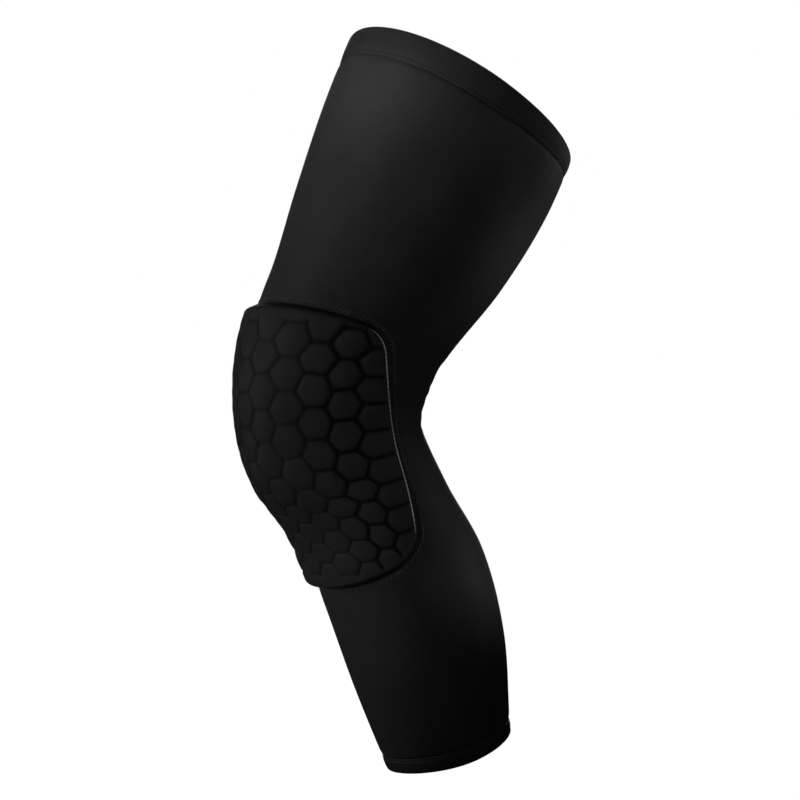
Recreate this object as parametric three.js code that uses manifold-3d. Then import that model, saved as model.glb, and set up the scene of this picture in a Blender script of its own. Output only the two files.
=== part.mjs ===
// Basketball knee pad: a long compression leg sleeve with a honeycomb foam pad sewn over the knee,
// kept in the shape of the bent leg that wears it.
// Millimetres, +Z up, -Y towards the front of the knee, origin at the middle of the knee, inside the sleeve.

import * as THREE from "three";
import { mergeVertices } from "three/addons/utils/BufferGeometryUtils.js";
import Module from "manifold-3d";

const { degToRad, clamp, lerp } = THREE.MathUtils;

// The leg inside: its axis is an arc round the knee that runs on straight up the thigh and down the shin.
const KNEE_BEND_RADIUS = 120;
const THIGH_LEAN = degToRad(28.5);
const SHIN_LEAN = degToRad(22);

// Sections square to the axis, from thigh to calf. Each gives its station along the axis from the knee,
// and the reach from the axis to the front, the back and either side of the sleeve.
const SECTIONS = [
  { station: 236, front: 80, back: 90, side: 80 },
  { station: 180, front: 76, back: 93, side: 76 },
  { station: 120, front: 68, back: 86, side: 70 },
  { station: 60, front: 59, back: 71, side: 62 },
  { station: 15, front: 59, back: 66, side: 58 },
  { station: -30, front: 56, back: 58, side: 54 },
  { station: -80, front: 40, back: 63, side: 52 },
  { station: -130, front: 39, back: 73, side: 52 },
  { station: -190, front: 40, back: 68, side: 48 },
  { station: -250, front: 38, back: 48, side: 43 },
];

// Cloth: the sleeve's wall, and the turned and doubled bands that finish its two ends.
// Each seam and rim is given by its station at the front, the sides and the back of the leg.
const SLEEVE_WALL = 1.2;
const BAND_WALL = 2.2;
const BAND_PROUD = 0.6;
const SEAM_GAP = 0.3;
const THIGH_SEAM = { front: 211, side: 205, back: 210 };
const THIGH_RIM = { front: 230, side: 223, back: 219 };
const CALF_SEAM = { front: -238, side: -242, back: -244 };
const CALF_RIM = { front: -248, side: -252, back: -251 };

// Knee pad, as a flat pattern before it is wrapped round the leg: u runs round the leg, v up along it.
const PAD_WRAP_RADIUS = 50;
const PAD_STATION = -36;
const PAD_TOP = { v: 81.5, halfWidth: 81, corner: 18, arch: 5 };
const PAD_FOOT = { v: -78, halfWidth: 84, corner: 25, arch: 14 };
const PAD_SIDE_BOW = 6;
const PAD_EASE = { share: 0.13, v: 20 };
const PAD_HEIGHT = 7;
const PAD_SUNK = -5;
const PAD_SEAT_GAP = 0.3;
const GROOVE_DEPTH = 2.5;
const GROOVE_FLOOR = 1.6;
const GROOVE_SLOPE = 1;
const CELL_ACROSS_FLATS = 17.3;
const CELL_MIDDLE = -1;
const CELL_COLUMNS = { standing: 5, drawn: 7 };
const CELL_HALF_ROWS = { standing: 8, drawn: 13 };

// The pad's wall from the top down, as edges out from the outline and lifts off the sleeve. It leans in, breaks into
// a chamfer that starts clear above the cells, and goes straight down where it is sunk in the leg.
const PAD_WALL = [
  { edge: -5.9, lift: 8.2 },
  { edge: -1.5, lift: 5.8 },
  { edge: 2, lift: 0 },
  { edge: 2, lift: PAD_SUNK },
];

// Facets of the solids.
const FACETS_ROUND = 36;
const SLEEVE_ROWS = 24;
const OUTLINE_POINTS = 60;
const SLAB_SHARES = [1, 0.9, 0.72, 0.54, 0.36, 0.18];

const wasm = await Module();
wasm.setup();

// How far the leg's axis leans back from upright, going up above the knee and going down below it.
function leanAt(station) {
  return clamp(station / KNEE_BEND_RADIUS, -SHIN_LEAN, THIGH_LEAN);
}

function axisPoint(station) {
  const lean = leanAt(station);
  const straight = station - KNEE_BEND_RADIUS * lean;
  const y = KNEE_BEND_RADIUS * (1 - Math.cos(lean)) + straight * Math.sin(lean);
  const z = KNEE_BEND_RADIUS * Math.sin(lean) + straight * Math.cos(lean);
  return new THREE.Vector3(0, y, z);
}

const sectionsUp = [...SECTIONS].reverse();
const sectionCurve = new THREE.CubicInterpolant(
  sectionsUp.map((row) => row.station),
  sectionsUp.flatMap((row) => [row.front, row.back, row.side]),
  3,
);

// A point on the sleeve's outside, or lifted off it. Angle 0 is the front of the leg and 90 degrees its +X side.
function legPoint(station, angle, lift) {
  const [front, back, side] = sectionCurve.evaluate(station);
  const depth = Math.cos(angle) > 0 ? front : back;
  const normal = new THREE.Vector2(Math.sin(angle) / side, Math.cos(angle) / depth).normalize();
  const sideways = side * Math.sin(angle) + lift * normal.x;
  const forward = depth * Math.cos(angle) + lift * normal.y;
  const lean = leanAt(station);
  const frontways = new THREE.Vector3(0, -Math.cos(lean), Math.sin(lean));
  return axisPoint(station).addScaledVector(frontways, forward).setX(sideways);
}

function indexedGeometry(points, triangles) {
  const geometry = new THREE.BufferGeometry().setFromPoints(points);
  geometry.setIndex(triangles);
  return geometry;
}

// Triangles of a grid of points, row after row, with the columns closed into a ring.
function ringTriangles(rows, columns, closeRows) {
  const triangles = [];
  for (let row = 0; row < (closeRows ? rows : rows - 1); row += 1) {
    for (let column = 0; column < columns; column += 1) {
      const next = (column + 1) % columns;
      const here = row * columns;
      const below = ((row + 1) % rows) * columns;
      triangles.push(here + column, below + column, below + next);
      triangles.push(here + column, below + next, here + next);
    }
  }
  return triangles;
}

// The station of a seam or rim at an angle round the leg.
function edgeStation({ front, side, back }, angle) {
  const level = (front + back + 2 * side) / 4;
  const tilt = ((front - back) / 2) * Math.cos(angle);
  const wave = ((front + back - 2 * side) / 4) * Math.cos(2 * angle);
  return level + tilt + wave;
}

// Points round the leg at a lift, part of the way from one edge to another.
function pointsRound(from, to, share, lift) {
  return Array.from({ length: FACETS_ROUND }, (_, facet) => {
    const angle = (facet / FACETS_ROUND) * 2 * Math.PI;
    const station = lerp(edgeStation(from, angle), edgeStation(to, angle), share);
    return legPoint(station, angle, lift);
  });
}

const sleeveShares = Array.from({ length: SLEEVE_ROWS }, (_, row) => row / (SLEEVE_ROWS - 1));

function sleeve() {
  const outside = sleeveShares.map((share) => pointsRound(THIGH_SEAM, CALF_SEAM, share, 0));
  const inside = sleeveShares.map((share) => pointsRound(THIGH_SEAM, CALF_SEAM, share, -SLEEVE_WALL));
  const rings = [...outside, ...inside.reverse()];
  return indexedGeometry(rings.flat(), ringTriangles(rings.length, FACETS_ROUND, true));
}

// A doubled band from its seam to a rounded fold at the rim.
function hemBand(seam, rim) {
  const outer = BAND_PROUD;
  const inner = BAND_PROUD - BAND_WALL;
  const widths = ["front", "side", "back"].map((place) => Math.abs(rim[place] - seam[place]));
  const width = Math.min(...widths);
  const start = SEAM_GAP / width;
  const shoulder = 1 - BAND_WALL / 2 / width;
  const profile = [
    [start, inner],
    [shoulder, inner],
    [1, lerp(inner, outer, 0.3)],
    [1, lerp(inner, outer, 0.7)],
    [shoulder, outer],
    [lerp(start, shoulder, 0.5), outer],
    [start, outer],
  ];
  const rings = profile.map(([share, lift]) => pointsRound(seam, rim, share, lift));
  if (rim.front < seam.front) rings.reverse();
  return indexedGeometry(rings.flat(), ringTriangles(rings.length, FACETS_ROUND, true));
}

// The leg's form as a solid with closed ends, lifted off the sleeve, with the sleeve's own facets.
function legSolid(lift) {
  const points = sleeveShares.flatMap((share) => pointsRound(THIGH_SEAM, CALF_SEAM, share, lift));
  const triangles = ringTriangles(SLEEVE_ROWS, FACETS_ROUND, false);
  const lastRing = (SLEEVE_ROWS - 1) * FACETS_ROUND;
  const top = points.push(axisPoint(THIGH_SEAM.side)) - 1;
  const foot = points.push(axisPoint(CALF_SEAM.side)) - 1;
  for (let facet = 0; facet < FACETS_ROUND; facet += 1) {
    const next = (facet + 1) % FACETS_ROUND;
    triangles.push(top, facet, next);
    triangles.push(foot, lastRing + next, lastRing + facet);
  }
  return indexedGeometry(points, triangles);
}

// A point of the flat pad pattern, wrapped on to the leg. Over the front the pad gives less than the bend asks.
function padPoint(u, v, lift) {
  const angle = u / PAD_WRAP_RADIUS;
  const eased = v - PAD_EASE.share * Math.cos(angle) * (v - PAD_EASE.v);
  return legPoint(PAD_STATION + eased, angle, lift);
}

// Where two edges would meet if each ran on straight past its end, away from the place that it bows towards.
function crossing(end, bow, otherEnd, otherBow) {
  const way = end.clone().sub(bow);
  const otherWay = otherEnd.clone().sub(otherBow);
  const share = otherEnd.clone().sub(end).cross(otherWay) / way.cross(otherWay);
  return end.clone().addScaledVector(way, share);
}

// The pad's outline in the flat, grown or shrunk by an edge: edges that bow out and run on into round corners.
function padOutline(edge) {
  const place = (u, v) => new THREE.Vector2(u, v);
  const top = PAD_TOP.v + edge;
  const foot = PAD_FOOT.v - edge;
  const topHalf = PAD_TOP.halfWidth + edge;
  const footHalf = PAD_FOOT.halfWidth + edge;
  const topArch = place(0, top + 2 * PAD_TOP.arch);
  const footArch = place(0, foot - 2 * PAD_FOOT.arch);
  const topEnd = place(topHalf - PAD_TOP.corner, top);
  const footEnd = place(footHalf - PAD_FOOT.corner, foot);
  const sideTop = place(topHalf, top - PAD_TOP.corner);
  const sideFoot = place(footHalf, foot + PAD_FOOT.corner);
  const sideBow = place((topHalf + footHalf) / 2 + 2 * PAD_SIDE_BOW, (sideTop.y + sideFoot.y) / 2);
  const topCorner = crossing(topEnd, topArch, sideTop, sideBow);
  const footCorner = crossing(footEnd, footArch, sideFoot, sideBow);
  const right = [footEnd, footCorner, sideFoot, sideBow, sideTop, topCorner, topEnd];
  const left = [...right].reverse().map(({ x, y }) => place(-x, y));
  const knots = [...right, topArch, ...left, footArch, footEnd];
  const outline = new THREE.Shape();
  outline.moveTo(footEnd.x, footEnd.y);
  for (let n = 1; n < knots.length; n += 2) {
    outline.quadraticCurveTo(knots[n].x, knots[n].y, knots[n + 1].x, knots[n + 1].y);
  }
  return outline.getSpacedPoints(OUTLINE_POINTS).slice(0, -1);
}

// The pad as a smooth slab with its wall round it. Its top and foot are drawn in rings that shrink to the middle.
function padSlab() {
  const top = PAD_WALL[0];
  const foot = PAD_WALL[PAD_WALL.length - 1];
  const layers = [
    ...[...SLAB_SHARES].reverse().map((share) => ({ ...top, share })),
    ...PAD_WALL.slice(1, -1).map((step) => ({ ...step, share: 1 })),
    ...SLAB_SHARES.map((share) => ({ ...foot, share })),
  ];
  const points = layers.flatMap(({ edge, lift, share }) =>
    padOutline(edge).map((corner) => padPoint(corner.x * share, corner.y * share, lift)),
  );
  const count = OUTLINE_POINTS;
  const triangles = ringTriangles(layers.length, count, false);
  const highMiddle = points.push(padPoint(0, 0, top.lift)) - 1;
  const lowMiddle = points.push(padPoint(0, 0, foot.lift)) - 1;
  const lastRing = (layers.length - 1) * count;
  for (let corner = 0; corner < count; corner += 1) {
    const next = (corner + 1) % count;
    triangles.push(highMiddle, corner, next);
    triangles.push(lowMiddle, lastRing + next, lastRing + corner);
  }
  return indexedGeometry(points, triangles);
}

// The six ways out of a cell, in columns and half rows. Way n goes out over side n, from corner n to corner n + 1.
const CELL_WAYS = [[1, 1], [0, 2], [-1, 1], [-1, -1], [0, -2], [1, -1]];

// Corner of a cell in the flat pattern, with the cell's flats up and down.
function cellCorner(column, halfRow, corner) {
  const reach = CELL_ACROSS_FLATS / Math.sqrt(3);
  const turn = (corner * Math.PI) / 3;
  const u = column * reach * 1.5 + reach * Math.cos(turn);
  const v = CELL_MIDDLE + (halfRow * CELL_ACROSS_FLATS) / 2 + reach * Math.sin(turn);
  return new THREE.Vector2(u, v);
}

// A groove parts two cells of the standing columns where at least one of them is in the standing rows.
// The cells left over join into a smooth border.
function isGrooved(one, other) {
  const inColumns = [one, other].every(([column]) => Math.abs(column) <= CELL_COLUMNS.standing);
  const inRows = [one, other].some(([, halfRow]) => Math.abs(halfRow) <= CELL_HALF_ROWS.standing);
  return inColumns && inRows;
}

// The honeycomb as one closed body: flat cell tops, grooves with sloping sides and a flat floor, and a sunk foot.
function honeycomb() {
  const floor = PAD_HEIGHT - GROOVE_DEPTH;
  const points = [];
  const triangles = [];
  const seen = new Map();
  const pointAt = (place, lift) => {
    const key = `${place.x.toFixed(3)} ${place.y.toFixed(3)} ${lift}`;
    if (!seen.has(key)) seen.set(key, points.push(padPoint(place.x, place.y, lift)) - 1);
    return seen.get(key);
  };
  const face = (...ring) => {
    for (let i = 1; i + 1 < ring.length; i += 1) triangles.push(ring[0], ring[i], ring[i + 1]);
  };
  const isDrawn = ([column, halfRow]) =>
    Math.abs(column) <= CELL_COLUMNS.drawn && Math.abs(halfRow) <= CELL_HALF_ROWS.drawn;

  const addCell = (column, halfRow) => {
    const cell = [column, halfRow];
    const neighbours = CELL_WAYS.map(([right, up]) => [column + right, halfRow + up]);
    const grooved = neighbours.map((other) => isGrooved(cell, other));
    const corners = CELL_WAYS.map((_, n) => cellCorner(column, halfRow, n));
    const middle = corners[0].clone().lerp(corners[3], 0.5);
    const towards = (n, aim, inset) => {
      const way = aim.clone().sub(corners[n]).setLength(inset / Math.sin(Math.PI / 3));
      return way.add(corners[n]);
    };
    // A corner drawn in from the grooves that meet there. Where one only ends at it, it becomes two places.
    const drawnIn = (n, inset) => {
      const before = (n + 5) % 6;
      const along = [corners[before], corners[(n + 1) % 6]];
      if (grooved[before] && grooved[n]) return [towards(n, middle, inset)];
      if (grooved[before]) return [towards(n, along[1], inset)];
      if (grooved[n]) return [towards(n, along[0], inset)];
      if (isGrooved(neighbours[before], neighbours[n])) return along.map((aim) => towards(n, aim, inset));
      return [corners[n]];
    };
    const low = corners.map((_, n) => drawnIn(n, GROOVE_FLOOR / 2));
    const high = corners.map((_, n) => drawnIn(n, GROOVE_FLOOR / 2 + GROOVE_SLOPE));
    face(...high.flat().map((place) => pointAt(place, PAD_HEIGHT)));
    face(...[...corners].reverse().map((place) => pointAt(place, PAD_SUNK)));
    corners.forEach((corner, n) => {
      const next = (n + 1) % 6;
      if (grooved[n]) {
        const edge = [corner, corners[next]].map((place) => pointAt(place, floor));
        const foot = [low[n][0], low[next][0]].map((place) => pointAt(place, floor));
        const brow = [high[n][0], high[next][0]].map((place) => pointAt(place, PAD_HEIGHT));
        face(edge[0], edge[1], foot[1], foot[0]);
        face(foot[0], foot[1], brow[1], brow[0]);
      } else if (!isDrawn(neighbours[n])) {
        const root = [corner, corners[next]].map((place) => pointAt(place, PAD_SUNK));
        const brow = [corner, corners[next]].map((place) => pointAt(place, PAD_HEIGHT));
        face(root[0], root[1], brow[1], brow[0]);
      }
      if (high[n].length === 2) {
        const foot = low[n].map((place) => pointAt(place, floor));
        const brow = high[n].map((place) => pointAt(place, PAD_HEIGHT));
        face(foot[0], pointAt(corner, floor), foot[1]);
        face(foot[0], foot[1], brow[1], brow[0]);
      }
    });
  };

  for (let column = -CELL_COLUMNS.drawn; column <= CELL_COLUMNS.drawn; column += 1) {
    for (let halfRow = -CELL_HALF_ROWS.drawn; halfRow <= CELL_HALF_ROWS.drawn; halfRow += 1) {
      if ((column + halfRow) % 2 === 0) addCell(column, halfRow);
    }
  }
  return indexedGeometry(points, triangles);
}

// A closed geometry as a solid that can be joined and cut, and back again.
function solidOf(geometry) {
  const bare = geometry.clone();
  bare.deleteAttribute("normal");
  bare.deleteAttribute("uv");
  const merged = mergeVertices(bare);
  return new wasm.Manifold(
    new wasm.Mesh({
      numProp: 3,
      vertProperties: new Float32Array(merged.getAttribute("position").array),
      triVerts: new Uint32Array(merged.getIndex().array),
    }),
  );
}

function geometryOf(solid) {
  const { vertProperties, triVerts } = solid.getMesh();
  const geometry = new THREE.BufferGeometry();
  geometry.setAttribute("position", new THREE.BufferAttribute(vertProperties, 3));
  geometry.setIndex(new THREE.BufferAttribute(triVerts, 1));
  geometry.computeVertexNormals();
  return geometry;
}

// The whole pad: the honeycomb cut to the slab's wall and seated on the sleeve.
function kneePad() {
  const foam = solidOf(honeycomb()).intersect(solidOf(padSlab()));
  return geometryOf(foam.subtract(solidOf(legSolid(PAD_SEAT_GAP))));
}

const knit = new THREE.MeshStandardMaterial({ color: 0x17171a, roughness: 0.62, metalness: 0 });
const hemKnit = new THREE.MeshStandardMaterial({ color: 0x141416, roughness: 0.68, metalness: 0 });
const padSkin = new THREE.MeshStandardMaterial({ color: 0x151518, roughness: 0.75, metalness: 0 });

function namedMesh(name, geometry, material) {
  const mesh = new THREE.Mesh(geometry, material);
  mesh.name = name;
  return mesh;
}

const kneePadSleeve = new THREE.Group();
kneePadSleeve.add(
  namedMesh("sleeve", sleeve(), knit),
  namedMesh("thigh_band", hemBand(THIGH_SEAM, THIGH_RIM), hemKnit),
  namedMesh("calf_band", hemBand(CALF_SEAM, CALF_RIM), hemKnit),
  namedMesh("knee_pad", kneePad(), padSkin),
);

export default kneePadSleeve;
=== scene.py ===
# %% [markdown]
# # A basketball knee pad
# The part is a long compression leg sleeve with a honeycomb foam pad sewn over the knee. Its solids come from
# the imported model, which is loaded first and never moved. Every piece below is made in metres in that same
# frame: +Z up, -Y to the front of the knee, and the origin in the middle of the knee, inside the sleeve.

# %% Load the frame
import math

import bpy
import numpy as np
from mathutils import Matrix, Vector
from mathutils.geometry import delaunay_2d_cdt


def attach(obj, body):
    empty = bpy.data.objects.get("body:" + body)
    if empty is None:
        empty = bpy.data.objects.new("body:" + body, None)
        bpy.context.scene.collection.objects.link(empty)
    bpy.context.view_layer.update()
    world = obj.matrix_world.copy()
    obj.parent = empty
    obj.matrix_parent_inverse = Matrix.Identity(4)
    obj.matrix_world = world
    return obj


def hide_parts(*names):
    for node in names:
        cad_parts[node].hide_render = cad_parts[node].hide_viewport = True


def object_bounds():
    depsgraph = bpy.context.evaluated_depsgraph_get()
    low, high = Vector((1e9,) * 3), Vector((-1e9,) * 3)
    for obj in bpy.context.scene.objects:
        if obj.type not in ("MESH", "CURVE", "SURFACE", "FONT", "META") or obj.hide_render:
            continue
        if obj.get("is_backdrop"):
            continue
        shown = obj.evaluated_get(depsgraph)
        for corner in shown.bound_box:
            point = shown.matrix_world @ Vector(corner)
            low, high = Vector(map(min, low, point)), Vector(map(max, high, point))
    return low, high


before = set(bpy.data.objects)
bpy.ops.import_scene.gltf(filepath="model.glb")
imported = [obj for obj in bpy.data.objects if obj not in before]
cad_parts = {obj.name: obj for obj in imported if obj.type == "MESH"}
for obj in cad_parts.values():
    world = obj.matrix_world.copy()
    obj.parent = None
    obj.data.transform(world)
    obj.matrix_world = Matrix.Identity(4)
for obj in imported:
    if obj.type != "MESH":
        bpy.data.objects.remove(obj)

cad_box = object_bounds()
print("solids:", sorted(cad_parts))

# %% [markdown]
# ## Camera
# The picture is taken square to the leg from one side and a little to the front, with a long lens, so that
# nearly nothing tapers. Its scale and the place of the knee in it settle the lens and the aim: one picture
# element is so many metres at the knee, and the distance turns that into a focal length.

# %% Camera
IMAGE_PIXELS = 800
PIXEL_SIZE = 0.000655
KNEE_PIXEL = (332, 400)
VIEW_AZIMUTH = math.radians(60)
VIEW_DISTANCE = 2.5
SENSOR_WIDTH_MM = 36


def add_object(name, data):
    """An object that shows some data, linked into the scene."""
    added = bpy.data.objects.new(name, data)
    bpy.context.scene.collection.objects.link(added)
    return added


view_near = Vector((math.sin(VIEW_AZIMUTH), -math.cos(VIEW_AZIMUTH), 0))
view_right = Vector((math.cos(VIEW_AZIMUTH), math.sin(VIEW_AZIMUTH), 0))
view_up = Vector((0, 0, 1))
middle_pixel = IMAGE_PIXELS / 2
aim = view_right * (middle_pixel - KNEE_PIXEL[0]) * PIXEL_SIZE
aim += view_up * (KNEE_PIXEL[1] - middle_pixel) * PIXEL_SIZE

camera = add_object("camera", bpy.data.cameras.new("camera"))
camera.data.sensor_width = SENSOR_WIDTH_MM
camera.data.lens = SENSOR_WIDTH_MM * VIEW_DISTANCE / PIXEL_SIZE / IMAGE_PIXELS
camera.location = aim + view_near * VIEW_DISTANCE
camera.rotation_euler = (-view_near).to_track_quat("-Z", "Y").to_euler()
bpy.context.scene.camera = camera
print(f"lens {camera.data.lens:.1f} mm at {VIEW_DISTANCE} m")

# %% [markdown]
# ## The leg's form
# The sleeve has no shape of its own: it takes the shape of the bent leg that it is stretched on. A leg could
# be sculpted, but a few sections square to its axis say it all. The axis is an arc round the knee that runs
# on straight into thigh and shin, and a smooth curve runs through the sections from calf to thigh.

# %% The leg's form
MM = 0.001
KNEE_BEND_RADIUS = 120 * MM
THIGH_LEAN = math.radians(28.5)
SHIN_LEAN = math.radians(22)

# Station along the axis from the knee, and the reach to the front, to the back and to either side.
LEG_SECTIONS = MM * np.array([
    (-250, 38, 48, 43),
    (-190, 40, 68, 48),
    (-130, 39, 73, 52),
    (-80, 40, 63, 52),
    (-30, 56, 58, 54),
    (15, 59, 66, 58),
    (60, 59, 71, 62),
    (120, 68, 86, 70),
    (180, 76, 93, 76),
    (236, 80, 90, 80),
])


def leg_reach(station):
    """Front, back and side reach at stations along the leg: a cubic from each section to the next."""
    levels = LEG_SECTIONS[:, 0]
    reach = LEG_SECTIONS[:, 1:]
    slopes = np.diff(reach, axis=0) / np.diff(levels)[:, None]
    tangents = (np.concatenate([slopes[:1], slopes]) + np.concatenate([slopes, slopes[-1:]])) / 2
    station = np.clip(station, levels[0], levels[-1])
    above = np.clip(np.searchsorted(levels, station, side="right"), 1, len(levels) - 1)
    below = above - 1
    span = (levels[above] - levels[below])[..., None]
    t = (station - levels[below])[..., None] / span
    between = reach[below] + (reach[above] - reach[below]) * t**2 * (3 - 2 * t)
    bent = tangents[below] * (t**3 - 2 * t**2 + t) + tangents[above] * (t**3 - t**2)
    return np.moveaxis(between + span * bent, -1, 0)


def leg_point(station, angle, lift):
    """Points on the sleeve's outside, or lifted off it. Angle 0 is the front, a quarter turn the +X side."""
    station, angle, lift = np.broadcast_arrays(station, angle, lift)
    front, back, side = leg_reach(station)
    depth = np.where(np.cos(angle) > 0, front, back)
    slope_across = np.sin(angle) / side
    slope_ahead = np.cos(angle) / depth
    slope = np.hypot(slope_across, slope_ahead)
    across = side * np.sin(angle) + lift * slope_across / slope
    ahead = depth * np.cos(angle) + lift * slope_ahead / slope
    lean = np.clip(station / KNEE_BEND_RADIUS, -SHIN_LEAN, THIGH_LEAN)
    straight = station - KNEE_BEND_RADIUS * lean
    axis_y = KNEE_BEND_RADIUS * (1 - np.cos(lean)) + straight * np.sin(lean)
    axis_z = KNEE_BEND_RADIUS * np.sin(lean) + straight * np.cos(lean)
    return np.stack([across, axis_y - ahead * np.cos(lean), axis_z + ahead * np.sin(lean)], axis=-1)


def leg_outward(station, angle):
    """Unit vectors square to the leg's sections, along which a lift is measured."""
    return leg_point(station, angle, 1.0) - leg_point(station, angle, 0.0)


kneecap = leg_point(0.0, 0.0, 0.0)
print("front of the knee at", np.round(kneecap / MM, 1), "mm")

# %% [markdown]
# ## Helpers for cloth meshes
# All the cloth is rings of points round the leg, joined by four-sided faces. Blender's own tubes can't change
# shape along their length, so the rings go into a mesh as arrays. A UV map counts knitted stitches: one unit
# across is one wale and one unit along is one course, so that the knit follows the cloth and not the room.

# %% Helpers for cloth meshes
def ring_faces(rows, columns):
    """Faces between rows of points from the top down, with columns and rows both closed into rings."""
    row, column = np.meshgrid(np.arange(rows), np.arange(columns), indexing="ij")
    here = row * columns
    below = (row + 1) % rows * columns
    beside = (column + 1) % columns
    corners = [here + column, below + column, below + beside, here + beside]
    return np.stack(corners, axis=-1).reshape(-1, 4)


def ring_stitch_counts(levels, wales):
    """UV corners of those faces, from each point's level in courses and the wales round a ring."""
    columns = levels.shape[1]
    faces = ring_faces(*levels.shape)
    across = (faces[:, :1] % columns + [0, 0, 1, 1]) * wales / columns
    return np.stack([across, levels.ravel()[faces]], axis=-1).reshape(-1, 2)


def make_piece(name, points, faces, stitch_counts):
    """A smooth mesh object at the origin, with a UV map in stitches."""
    mesh = bpy.data.meshes.new(name)
    mesh.from_pydata(points.reshape(-1, 3).tolist(), [], [list(face) for face in faces])
    mesh.shade_smooth()
    uv_map = mesh.uv_layers.new(name="stitches")
    uv_map.data.foreach_set("uv", np.asarray(stitch_counts, np.float32).ravel())
    piece = add_object(name, mesh)
    print(name, len(mesh.vertices), "points", len(mesh.polygons), "faces")
    return piece


def dress(piece, node, material):
    """Puts a finished piece on the object: its body, the solid it stands for and its material."""
    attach(piece, "root")
    if node:
        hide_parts(node)
    piece.data.materials.clear()
    piece.data.materials.append(material)


# %% [markdown]
# ## Nodes
# Shader groups and geometry trees are both made of nodes. A few helpers keep their code short: one makes a
# tree with named sockets, one adds a node with its settings and links in a single call, and the others add
# the nodes that come up most.

# %% Helpers for nodes
def new_tree(name, kind, inputs, outputs):
    """A node tree with named sockets: the tree, its input sockets and its output sockets."""
    tree = bpy.data.node_groups.new(name, kind)
    for label, socket_type in inputs.items():
        tree.interface.new_socket(label, in_out="INPUT", socket_type=socket_type)
    for label, socket_type in outputs.items():
        tree.interface.new_socket(label, in_out="OUTPUT", socket_type=socket_type)
    return tree, tree.nodes.new("NodeGroupInput").outputs, tree.nodes.new("NodeGroupOutput").inputs


def feed(tree, node, inputs):
    """Fills a node's inputs. Each is a plain value, or another node's output to link from."""
    for socket, value in inputs.items():
        if isinstance(value, bpy.types.NodeSocket):
            tree.links.new(value, node.inputs[socket])
        else:
            node.inputs[socket].default_value = value


def add_node(tree, kind, inputs=None, **settings):
    """A node with its settings and inputs."""
    node = tree.nodes.new(kind)
    for label, value in settings.items():
        setattr(node, label, value)
    feed(tree, node, inputs or {})
    return node


def output_of(tree, kind, inputs=None, output=0, **settings):
    """One output of a new node, the first where none is named."""
    return add_node(tree, kind, inputs, **settings).outputs[output]


def math_node(tree, operation, first, second=0.0, third=0.0):
    """The output of a Math node."""
    return output_of(tree, "ShaderNodeMath", {0: first, 1: second, 2: third}, operation=operation)


def scaled(tree, vector, share):
    """A vector or a colour times a number."""
    return output_of(tree, "ShaderNodeVectorMath", {0: vector, "Scale": share}, operation="SCALE")


# %% [markdown]
# ## Knit
# The cloth is a fine stretch knit: columns of small V-shaped loops. At half a millimetre across they are too
# small to model, so a shader group draws them as bump from the UV map's stitch counts. Each wale is a rounded
# ridge, and the two slanted legs of its loops run up from its middle.

# %% Knit loops, as a shader group
LOOP_SLANT = 1.2
LOOP_LEG_SHARE = 0.45
WALE_RIDGE_SHARE = 0.55


def knit_loops_group():
    tree, given, made = new_tree(
        "Knit loops", "ShaderNodeTree", {"Stitches": "NodeSocketVector"}, {"Height": "NodeSocketFloat"}
    )
    counts = add_node(tree, "ShaderNodeSeparateXYZ", {0: given["Stitches"]}).outputs
    wale_angle = math_node(tree, "MULTIPLY", counts["X"], math.pi)
    ridge = math_node(tree, "ABSOLUTE", math_node(tree, "SINE", wale_angle))
    from_middle = math_node(tree, "PINGPONG", counts["X"], 0.5)
    slanted = math_node(tree, "MULTIPLY_ADD", from_middle, LOOP_SLANT, counts["Y"])
    leg_wave = math_node(tree, "SINE", math_node(tree, "MULTIPLY", slanted, 2 * math.pi))
    leg = math_node(tree, "MULTIPLY_ADD", leg_wave, 0.5, 0.5)
    raised = math_node(tree, "MULTIPLY", ridge, WALE_RIDGE_SHARE)
    height = math_node(tree, "MULTIPLY_ADD", leg, LOOP_LEG_SHARE, raised)
    tree.links.new(height, made["Height"])
    return tree


knit_loops = knit_loops_group()
print("shader group:", knit_loops.name)

# %% [markdown]
# ## Uneven dye and pile
# Stretched cloth is never one flat tone. The loops open where it is pulled and the fibres lie a little
# differently from place to place, so tone and gloss drift over a few centimetres and break up over a few
# millimetres. Two noises on the piece's own coordinates do that, in a group that every cloth here shares.

# %% Uneven tone, as a shader group
# Two noises on a place in metres: scale, detail, roughness of that detail, and share of the tone.
TONE_NOISES = [(28, 2, 0.5, 0.6), (420, 3, 0.65, 0.4)]
GLOSS_SWING = 0.3


def uneven_tone_group():
    tree, given, made = new_tree(
        "Uneven tone",
        "ShaderNodeTree",
        {"Place": "NodeSocketVector", "Amount": "NodeSocketFloat"},
        {"Tone": "NodeSocketFloat", "Gloss": "NodeSocketFloat"},
    )
    shares = []
    for scale, detail, roughness, share in TONE_NOISES:
        inputs = {"Vector": given["Place"], "Scale": scale, "Detail": detail, "Roughness": roughness}
        noise = output_of(tree, "ShaderNodeTexNoise", inputs)
        shares.append(math_node(tree, "MULTIPLY", noise, share))
    centred = math_node(tree, "SUBTRACT", math_node(tree, "ADD", *shares), 0.5)
    swing = math_node(tree, "MULTIPLY", centred, given["Amount"])
    tree.links.new(math_node(tree, "ADD", swing, 1.0), made["Tone"])
    less = math_node(tree, "MULTIPLY", swing, GLOSS_SWING)
    tree.links.new(math_node(tree, "SUBTRACT", 1.0, less), made["Gloss"])
    return tree


uneven_tone = uneven_tone_group()
print("shader group:", uneven_tone.name)

# %% [markdown]
# ## Cloth materials
# Three finishes share the two groups: the smooth face of the sleeve, which has a soft sheen, the doubled hems
# and the duller knit that is laminated on the foam. The shader stays in each material, with the values that
# are the same all over set on its own sockets.

# %% Helpers for materials
UNEVENNESS = 1.0


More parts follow.
